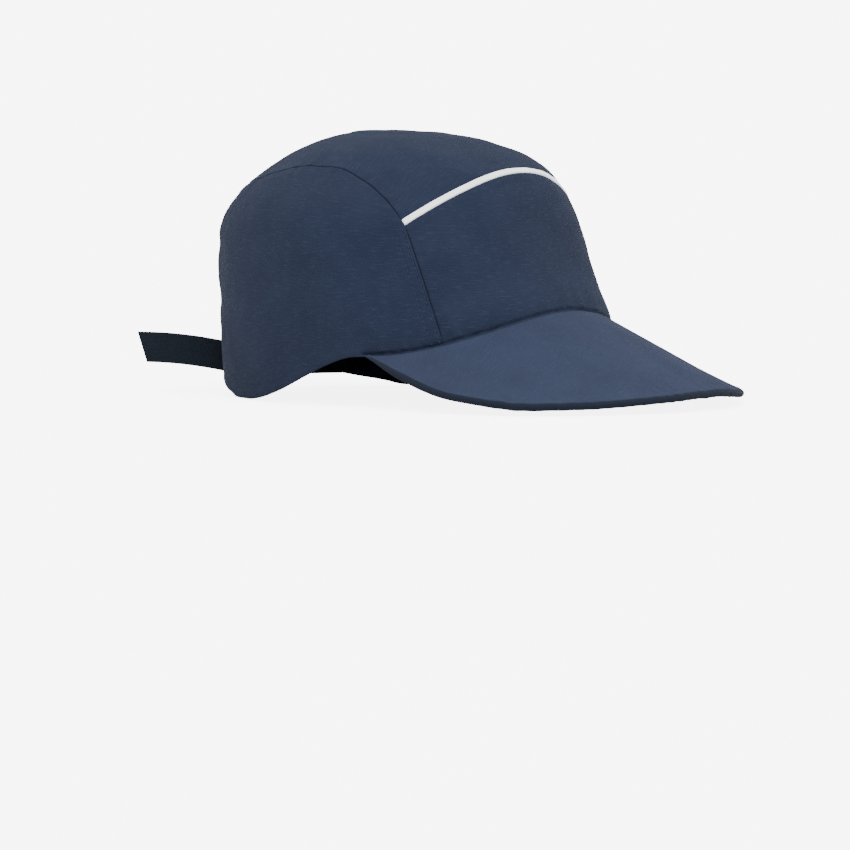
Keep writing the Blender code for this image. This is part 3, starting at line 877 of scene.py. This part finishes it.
def openingArch(share):
    side = 2 * share - 1
    foot = lowerEdge(np.array(seams["backLowAngle"]))[2]
    rise = (seams["openingHeight"] - foot) * (1 - np.abs(side) ** seams["openingFullness"])
    return wallPoint(180.0 - (180.0 - seams["backLowAngle"]) * side, foot + rise)


backPlace = patch(
    drawn(openingArch),
    backLow,
    lambda v: mirrored(rearLine(1 - v)),
    lambda v: rearLine(1 - v),
)
backEdges = (
    (rearLine(lineShares), rearUnderSeam),
    (mirrored(rearLine(lineShares)), rearUnderSeam),
    (backLow(lineShares), pressedSeam),
)
sewPanel("backPanel", backPlace, backEdges, "back_panel", openingArch(lineShares))

sideTurn = seams["backLowAngle"] - seams["frontLowAngle"]
sidePlace = patch(
    drawn(lambda u: lowerEdge(seams["frontLowAngle"] + sideTurn * u), 900),
    topLine,
    frontLine,
    lambda v: rearLine(1 - v),
)
rimLine = lowerEdge(np.linspace(peak["endAngle"] + hem["startAngle"], seams["backLowAngle"], 500))
sideEdges = (
    (frontLine(lineShares), overSeam),
    (topLine(lineShares), pressedSeam),
    (rearLine(lineShares), rearOverSeam),
    (peakSeam(np.linspace(hem["peakFrom"], 1.0, 300)), besidePeak),
)
sewPanel("sidePanelRight", sidePlace, sideEdges, "side_panel_right", rimLine, flip=True)
sewPanel("sidePanelLeft", sidePlace, sideEdges, "side_panel_left", rimLine)
print("panels sewn")

# The tape is a folded strip that stands a little proud of the seam it covers
tapeAcross, tapeUp = np.meshgrid(
    np.linspace(0, 1, tape["columns"]),
    np.linspace(-tape["beyond"], 1 + tape["beyond"], tape["rows"]),
    indexing="ij",
)
low = tapeLow(tapeAcross)
high = tapeHigh(tapeAcross)
base = ontoCrown(low + (high - low) * tapeUp[..., None])
normal = crownNormal(base)
tapeLength = seamLength(tapeLow)
fullness = 1 - np.abs(2 * np.clip(tapeUp, 0, 1) - 1) ** tape["fullness"]
bulge = fullness * (tape["proud"] + tape["sink"]) - tape["sink"]
bulge = bulge + tape["wave"] * alongWave(tapeAcross * tapeLength, tape["waveLength"], tape["waveSeed"])
toEnd = np.minimum(tapeAcross, 1 - tapeAcross) * tapeLength
bulge = bulge - tape["endSink"] * (1 - eased(0.0, tape["endRound"], toEnd))
outer = base + normal * bulge[..., None]
inner = outer - normal * tape["wall"]
places = np.stack((tapeAcross * tapeLength, tapeUp * tape["width"]), axis=-1)
shell("seamTape", outer, inner, places, whiteTape, ["seam_tape"])

# The peak's cloth runs from the crown out along the top, round the edge and back to a lip below
cover = {
    "turns": 331,
    "evenness": 0.65,
    "probe": 0.004,
    "leastSlant": 0.2,
    "rootRange": (-0.010, 0.009),
    "rootHalvings": 24,
    "rootGap": 0.00005,
    "rootDepths": (0.0018, 0.0009),
    "rootDip": 0.0014,
    "rootDipWidth": 0.0013,
    "leastBorder": 0.0002,
    "topEnds": (0, 0.03, 0.95, 1.0),
    "topCounts": (6, 58, 8),
    "rollCount": 15,
    "underEnds": (0, 0.7, 1.0),
    "underCounts": (6, 7),
    "ridge": 0.00022,
    "ridgeAt": 0.0016,
    "ridgeWidth": 0.0015,
    "lip": 0.0005,
    "lipWidth": 0.00045,
    "lipShares": (0.35, 1.0),
    "innerShares": (0.25, 0.5, 0.75, 1.0),
    "wobble": 0.00011,
    "wobbleLength": 0.009,
    "wobbleSpan": 0.17,
    "wobbleSeed": 8,
    "wobbleFrom": 0.7,
    "rollWobble": 0.5,
    "underWobble": 0.3,
    "shadeRange": (-0.0009, 0.0003),
    "shadeDepth": 0.0007,
    "shadeStart": 0.004,
    "endFrom": 0.92,
    "endThinning": 0.8,
    "dent": 0.0003,
    "dentLength": 0.045,
    "dentSeed": 71,
    "dentRange": (0.03, 0.06),
    "clothStretch": 1.15,
}
lining = {
    "top": 0.0027,
    "bottom": 0.00345,
    "edgeGap": 0.00012,
    "edgeLift": 0.0005,
    "edgeWidth": 0.0006,
    "wave": 0.00012,
    "waveLength": 0.011,
    "waveSeed": 3,
    "leastRoom": 0.0015,
    "ends": (0, 0.04, 0.96, 1.0),
    "counts": (4, 36, 6),
    "backCount": 12,
}


def peakEdge(turn):
    rows = np.array(peak["edge"])
    columns = [through(rows[:, 0], rows[:, column], np.abs(turn), ease=9.0) for column in (1, 2, 3)]
    spread, reach, fall = columns
    shift = (np.sign(turn) * spread * peak["length"], -reach * peak["length"], -fall * peak["fall"])
    return peakSeam(turn) + np.stack(shift, axis=-1)


def peakTop(turn, reach):
    seam = peakSeam(turn)
    return seam + unit(peakEdge(turn) - seam) * reach[..., None]


def peakPlace(turn, reach, depth):
    sideways = peakTop(turn + cover["probe"], reach) - peakTop(turn - cover["probe"], reach)
    upward = unit(np.cross(unit(peakEdge(turn) - peakSeam(turn)), sideways))
    return peakTop(turn, reach) - upward * depth[..., None]


# How far out along the peak the crown's wall is, at a depth under the peak's top
def peakRootReach(turn, depth):
    near = np.full(turn.shape, cover["rootRange"][0])
    far = np.full(turn.shape, cover["rootRange"][1])
    for _ in range(cover["rootHalvings"]):
        middle = (near + far) / 2
        inside = crownRatio(peakPlace(turn, middle, np.full(turn.shape, depth))) < 1.0
        near = np.where(inside, middle, near)
        far = np.where(inside, far, middle)
    return far + cover["rootGap"]


# Grids of turn, reach and depth from columns of reach and depth
def peakGrids(turns, columns):
    pairs = np.array([np.broadcast_arrays(reach, depth) for reach, depth in columns])
    reachGrid, depthGrid = pairs.transpose(1, 2, 0)
    return np.broadcast_to(turns[:, None], reachGrid.shape), reachGrid, depthGrid


# Length of the peak from the seam to its edge, and how squarely its lines meet that edge
def peakProfile(turns):
    length = np.linalg.norm(peakEdge(turns) - peakSeam(turns), axis=-1)
    ruling = unit(peakEdge(turns) - peakSeam(turns))
    along = unit(peakEdge(turns + cover["probe"]) - peakEdge(turns - cover["probe"]))
    slant = np.maximum(np.linalg.norm(np.cross(ruling, along), axis=-1), cover["leastSlant"])
    return length, slant


evenTurns = np.linspace(-1.0, 1.0, cover["turns"])
turns = np.sin(evenTurns * np.pi / 2) * (1 - cover["evenness"]) + evenTurns * cover["evenness"]
length, slant = peakProfile(turns)
halfThick = peak["thickness"] / 2
innerDepth = peak["thickness"] - peak["recess"]
start = peakRootReach(turns, 0.0)
underRoot = peakRootReach(turns, peak["thickness"])
innerRoot = peakRootReach(turns, innerDepth)
borderReach = np.maximum(length - peak["border"] / slant, underRoot + cover["leastBorder"])
edgeAlong = turns * cover["wobbleSpan"]
wobble = cover["wobble"] * alongWave(edgeAlong, cover["wobbleLength"], cover["wobbleSeed"])
rollReach = halfThick / slant
topEnd = length - rollReach
columns = []
for share in graded(cover["topEnds"], cover["topCounts"]):
    reach = start + (topEnd - start) * share
    rootDip = cover["rootDip"] * hump(reach - start, 0.0, cover["rootDipWidth"])
    edgeRidge = cover["ridge"] * hump(topEnd - reach, cover["ridgeAt"], cover["ridgeWidth"])
    columns.append((reach, rootDip - edgeRidge + wobble * eased(cover["wobbleFrom"], 1.0, share)))
for angle in np.radians(np.linspace(90, -90, cover["rollCount"])[1:]):
    depth = halfThick - halfThick * math.sin(angle) + wobble * cover["rollWobble"]
    columns.append((topEnd + (rollReach + wobble) * math.cos(angle), depth))
for share in graded(cover["underEnds"], cover["underCounts"])[1:]:
    reach = topEnd + (borderReach - length + rollReach) * share
    lip = cover["lip"] * hump(reach - borderReach, 0.0, cover["lipWidth"])
    columns.append((reach, peak["thickness"] - lip + wobble * cover["underWobble"] * (1 - share)))
for share in cover["lipShares"]:
    lipDepth = peak["thickness"] - cover["lip"] - (peak["recess"] - cover["lip"]) * share
    columns.append((borderReach, lipDepth))
for share in cover["innerShares"]:
    columns.append((borderReach + (innerRoot - borderReach) * share, innerDepth))
for depth in cover["rootDepths"]:
    columns.append((peakRootReach(turns, depth), depth))
turnGrid, reachGrid, depthGrid = peakGrids(turns, columns)
# Painted shade: from the roll round the edge and on the underside the cover darkens to the edge colour,
# except close to the crown
rolled = eased(*cover["shadeRange"], reachGrid - topEnd[:, None])
shaded = np.maximum(rolled, eased(0.0, cover["shadeDepth"], depthGrid))
paintedShadeGrid = shaded * (reachGrid > start[:, None] + cover["shadeStart"])
depthGrid = depthGrid * (1 - cover["endThinning"] * eased(cover["endFrom"], 1.0, np.abs(turnGrid)))
points = peakPlace(turnGrid, reachGrid, depthGrid)
dents = unevenness(points, cover["dentLength"], cover["dentSeed"])
points[..., 2] += cover["dent"] * dents * eased(*cover["dentRange"], reachGrid)
places = np.stack((points[..., 0] * cover["clothStretch"], points[..., 1] + depthGrid), axis=-1)
rings("peakCover", points, places, peakCloth, ["peak"], paintedShadeGrid)

liningTurns = turns[borderReach - underRoot > lining["leastRoom"]]
liningLength, liningSlant = peakProfile(liningTurns)
liningRoot = peakRootReach(liningTurns, peak["thickness"])
liningBack = peakRootReach(liningTurns, lining["top"])
liningFar = liningLength - (peak["border"] + lining["edgeGap"]) / liningSlant
columns = []
for share in graded(lining["ends"], lining["counts"]):
    reach = liningRoot + (liningFar - liningRoot) * share
    edgeLift = lining["edgeLift"] * hump(liningFar - reach, 0.0, lining["edgeWidth"])
    wave = lining["wave"] * alongWave(reach, lining["waveLength"], lining["waveSeed"])
    columns.append((reach, lining["bottom"] - edgeLift + wave))
for share in np.linspace(1.0, 0.0, lining["backCount"]):
    columns.append((liningBack + (liningFar - liningBack) * share, lining["top"]))
turnGrid, reachGrid, depthGrid = peakGrids(liningTurns, columns)
points = peakPlace(turnGrid, reachGrid, depthGrid)
places = np.stack((points[..., 0] * cover["clothStretch"], points[..., 1]), axis=-1)
rings("peakLining", points, places, underCloth, ["peak_underside"])
print("peak covered")

# Topstitching: every stitch is a short thread that dips into the cloth at both ends
stitch = {
    "pitch": 0.0028,
    "length": 0.0021,
    "radius": 0.00021,
    "sides": 6,
    "offsets": (-0.5, -0.3, 0.0, 0.3, 0.5),
    "sizes": (0.45, 1.0, 1.05, 1.0, 0.45),
    "heights": (-0.00007, 0.00015, 0.00021, 0.00015, -0.00007),
    "ahead": 0.0004,
    "runStart": 0.06,
    "outerRunEnd": 0.97,
    "innerRunEnd": 0.99,
}


def stitchRow(name, line, normal):
    lengths = lengthsAlong(line)
    sides = stitch["sides"]
    profile = list(zip(stitch["offsets"], stitch["sizes"], stitch["heights"]))
    verts = []
    faces = []
    for number in range(int(lengths[-1] / stitch["pitch"])):
        first = len(verts)
        for offset, size, height in profile:
            at = (number + 0.5) * stitch["pitch"] + offset * stitch["length"]
            spot = readLine(at, lengths, line)
            out = unit(readLine(at, lengths, normal))
            tangent = unit(readLine(at + stitch["ahead"], lengths, line) - spot)
            side = unit(np.cross(out, tangent))
            for corner in range(sides):
                angle = corner * 2 * math.pi / sides
                around = side * math.cos(angle) + out * math.sin(angle)
                verts.append(spot + out * height + around * size * stitch["radius"])
        for ring in range(len(profile) - 1):
            for corner in range(sides):
                a = first + ring * sides + corner
                b = first + ring * sides + (corner + 1) % sides
                faces.append([a, b, b + sides, a + sides])
        last = len(verts) - sides
        faces.append([first + corner for corner in range(sides - 1, -1, -1)])
        faces.append([last + corner for corner in range(sides)])
    verts = np.array(verts) + standing
    return finished(name, verts, faces, verts[:, :2], threadSurface, [])


# A row beside the front seam, on the outside of a side panel
def rowBeside(name, distance, runEnd, seed, flip):
    line = frontLine(np.linspace(stitch["runStart"], runEnd, 260))
    tangent = unit(np.gradient(line, axis=0))
    beside = ontoCrown(line - np.cross(crownNormal(line), tangent) * distance)
    normal = crownNormal(beside)
    beside = beside + normal * relief(beside, sideEdges, seed)[:, None]
    if flip:
        beside = mirrored(beside)
        normal = mirrored(normal)
    return stitchRow(name, beside, normal)


innerRow, outerRow = overSeam["rows"]
for label, flip in (("Right", True), ("Left", False)):
    seed = panels["sidePanel" + label]["seed"]
    rowBeside("frontSeamOuterStitches" + label, outerRow, stitch["outerRunEnd"], seed, flip)
    rowBeside("frontSeamInnerStitches" + label, innerRow, stitch["innerRunEnd"], seed, flip)
print("stitches sewn")

# Webbing straps; leave and arrive are shares of the tail that bend its curve at both ends
strap = {
    "width": 0.0150,
    "thickness": 0.0011,
    "rise": 0.0140,
    "anchorAngle": 146.0,
    "runAngle": 171.0,
    "buryAngle": 170.0,
    "tail": (0.0420, 0.0380, 0.0080),
    "leave": (0.30, 0.03, 0.30),
    "arrive": (0.42, 0.55, 0.0),
    "cut": 0.0045,
    "cutLength": 0.012,
    "gap": 0.0003,
    "wallGaps": 1.5,
    "columns": 220,
    "acrossEnds": (-1, -0.86, 0.86, 1),
    "acrossCounts": (5, 14, 5),
    "edgeFrom": 0.93,
    "leastEdge": 0.02,
    "smoothings": 6,
}
buckle = {"length": 0.0220, "wall": 0.0015, "bevel": 0.0006, "segments": 4, "shortEnd": 0.8}


def strapLine(angle, extra):
    points = wallPoint(angle, np.full(np.shape(angle), strap["rise"] - strap["width"] / 2))
    outward = unit(crownNormal(points) * np.array((1.0, 1.0, 0.0)))
    points[..., 2] = strap["rise"]
    inset = crown["wall"] + strap["gap"] * strap["wallGaps"] + strap["thickness"] / 2
    return points - outward * (inset + extra)


strapRun = strapLine(np.array(strap["runAngle"]), 0.0)[1]
bury = strapLine(np.linspace(strap["anchorAngle"], strap["buryAngle"], 40), 0.0)
slideHalf = buckle["length"] / 2
clearHalf = slideHalf + strap["gap"]
slideSides = np.linspace(1.0, -1.0, 16)
straight = np.array([(clearHalf * side, strapRun, strap["rise"]) for side in slideSides])
tail = np.array(strap["tail"]) * np.array((-1.0, 1.0, 1.0))
tailStart = straight[-1]
tailEnd = tailStart + tail
leave = tailStart + tail * np.array(strap["leave"])
arrive = tailEnd - tail * np.array(strap["arrive"])
t = np.linspace(0.0, 1.0, 60)[1:, None]
nearStart = (1 - t) ** 3 * tailStart + 3 * (1 - t) ** 2 * t * leave
tailPath = nearStart + 3 * (1 - t) * t**2 * arrive + t**3 * tailEnd
longPath = np.concatenate((bury, straight, tailPath))

shortDepth = strap["thickness"] + strap["gap"]
shortAngles = np.linspace(-strap["anchorAngle"], -strap["buryAngle"], 40)
shortDepths = shortDepth * np.linspace(0.0, 1.0, len(shortAngles)) ** 2
shortBury = [strapLine(np.array(angle), depth) for angle, depth in zip(shortAngles, shortDepths)]
shortSides = np.linspace(-1.0, buckle["shortEnd"], 14)
shortRun = [(slideHalf * side, strapRun - shortDepth, strap["rise"]) for side in shortSides]
shortPath = np.concatenate((shortBury, shortRun))


def smoothed(path, count):
    lengths = lengthsAlong(path)
    at = np.linspace(0, lengths[-1], count)
    line = readLine(at, lengths, path)
    for _ in range(strap["smoothings"]):
        line[1:-1] = (line[:-2] + 2 * line[1:-1] + line[2:]) / 4
    return line, at


def webbing(name, path, cut, nodes):
    line, at = smoothed(path, strap["columns"])
    tangent = unit(np.gradient(line, axis=0) * np.array((1.0, 1.0, 0.0)))
    out = np.cross(tangent, np.array((0.0, 0.0, 1.0)))
    across = graded(strap["acrossEnds"], strap["acrossCounts"])
    atGrid, acrossGrid = np.meshgrid(at, across, indexing="ij")
    slanting = eased(at[-1] - strap["cutLength"], at[-1], atGrid)
    slanted = atGrid - (1 - acrossGrid) / 2 * cut * slanting
    centre = readLine(slanted, at, line)
    centre[..., 2] += acrossGrid * strap["width"] / 2
    outward = readLine(slanted, at, out)
    beyond = np.clip((np.abs(acrossGrid) - strap["edgeFrom"]) / (1 - strap["edgeFrom"]), 0, 1)
    edge = np.sqrt(np.clip(1 - beyond**2, strap["leastEdge"], 1))
    offset = outward * (strap["thickness"] / 2 * edge)[..., None]
    places = np.stack((slanted, acrossGrid * strap["width"] / 2), axis=-1)
    return shell(name, centre + offset, centre - offset, places, navyWebbing, nodes)


webbing("backStrap", longPath, strap["cut"], ["back_strap"])
webbing("buckleStrap", shortPath, 0.0, ["buckle_strap"])

# The slide of the buckle: a rounded sleeve round both straps
slotDepth = 2 * strap["thickness"] + 3 * strap["gap"]
slideMiddle = strapRun - shortDepth / 2 + crown["setBack"]
slotHigh = strap["width"] / 2 + strap["gap"]


def block(name, size, place):
    bpy.ops.mesh.primitive_cube_add(size=1.0, location=place)
    made = bpy.context.object
    made.name = name
    made.scale = size
    bpy.ops.object.transform_apply(location=True, rotation=False, scale=True)
    return made


slidePlace = (0.0, slideMiddle, strap["rise"])
slideSize = (buckle["length"], slotDepth + 2 * buckle["wall"], 2 * slotHigh + 2 * buckle["wall"])
slide = block("buckleSlide", slideSize, slidePlace)
slot = block("buckleSlot", (3 * buckle["length"], slotDepth, 2 * slotHigh), slidePlace)
bpy.ops.object.select_all(action="DESELECT")
slide.select_set(True)
bpy.context.view_layer.objects.active = slide
cutting = slide.modifiers.new("slot", "BOOLEAN")
cutting.object = slot
cutting.operation = "DIFFERENCE"
bpy.ops.object.modifier_apply(modifier="slot")
bpy.data.objects.remove(slot)
rounding = slide.modifiers.new("rounding", "BEVEL")
rounding.width = buckle["bevel"]
rounding.segments = buckle["segments"]
rounding.limit_method = "ANGLE"
bpy.ops.object.modifier_apply(modifier="rounding")
bpy.ops.object.shade_smooth_by_angle(angle=math.radians(40))
slide.data.materials.append(blackPlastic)
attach(slide, "root")
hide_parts("strap_buckle")
print("closure made")

# The floor and the air behind it look brighter to the camera than they light the cap
floorLook = {"size": 60.0, "colour": (0.80, 0.80, 0.80), "roughness": 0.9, "glow": 5.6}
light = {
    "world": 1.35,
    "background": 7.7,
    "worldColour": (0.98, 0.99, 1.0),
    "sun": 4.2,
    "spread": 60.0,
    "direction": (0.27, 0.36, -0.88),
}

bpy.ops.mesh.primitive_plane_add(size=floorLook["size"], location=(0, 0, 0))
floor = bpy.context.object
floor.name = "floor"
floorMaterial, tree, shader = startMaterial("paleFloor", floorLook["colour"], floorLook["roughness"])
shader.inputs["Base Color"].default_value = (*floorLook["colour"], 1.0)
shader.inputs["Specular IOR Level"].default_value = 0.0
shader.inputs["Emission Color"].default_value = (1.0, 1.0, 1.0, 1.0)
seen = addNode(tree, "ShaderNodeLightPath").outputs["Is Camera Ray"]
tree.links.new(mathNode(tree, "MULTIPLY", seen, floorLook["glow"]), shader.inputs["Emission Strength"])
floor.data.materials.append(floorMaterial)
floor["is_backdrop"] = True

world = bpy.data.worlds.new("studio")
bpy.context.scene.world = world
world.use_nodes = True
tree = world.node_tree
backdrop = tree.nodes["Background"]
backdrop.inputs["Color"].default_value = (*light["worldColour"], 1.0)
seen = addNode(tree, "ShaderNodeLightPath").outputs["Is Camera Ray"]
strength = mathNode(tree, "MULTIPLY_ADD", seen, light["background"] - light["world"], light["world"])
tree.links.new(strength, backdrop.inputs["Strength"])

sun = bpy.data.lights.new("softKey", "SUN")
sun.energy = light["sun"]
sun.angle = math.radians(light["spread"])
key = bpy.data.objects.new("softKey", sun)
bpy.context.scene.collection.objects.link(key)
key.rotation_mode = "QUATERNION"
key.rotation_quaternion = Vector(light["direction"]).to_track_quat("-Z", "Y")

# The camera stands round the cap at an azimuth from the front and looks at the aim
view = {
    "azimuth": -51.8,
    "elevation": 4.0,
    "distance": 2.30,
    "lens": 202.0,
    "sensor": 36.0,
    "clipEnd": 100.0,
    "aim": (-0.007, 0.009, -0.013),
}
camera = bpy.data.objects.new("camera", bpy.data.cameras.new("camera"))
bpy.context.scene.collection.objects.link(camera)
turnAngle = math.radians(view["azimuth"])
riseAngle = math.radians(view["elevation"])
level = math.cos(riseAngle)
back = Vector((math.sin(turnAngle) * level, -math.cos(turnAngle) * level, math.sin(riseAngle)))
camera.location = Vector(view["aim"]) + back * view["distance"]
camera.rotation_mode = "QUATERNION"
camera.rotation_quaternion = (-back).to_track_quat("-Z", "Y")
camera.data.lens = view["lens"]
camera.data.sensor_width = view["sensor"]
camera.data.clip_end = view["clipEnd"]
bpy.context.scene.camera = camera

low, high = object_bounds()
print("scene ready")
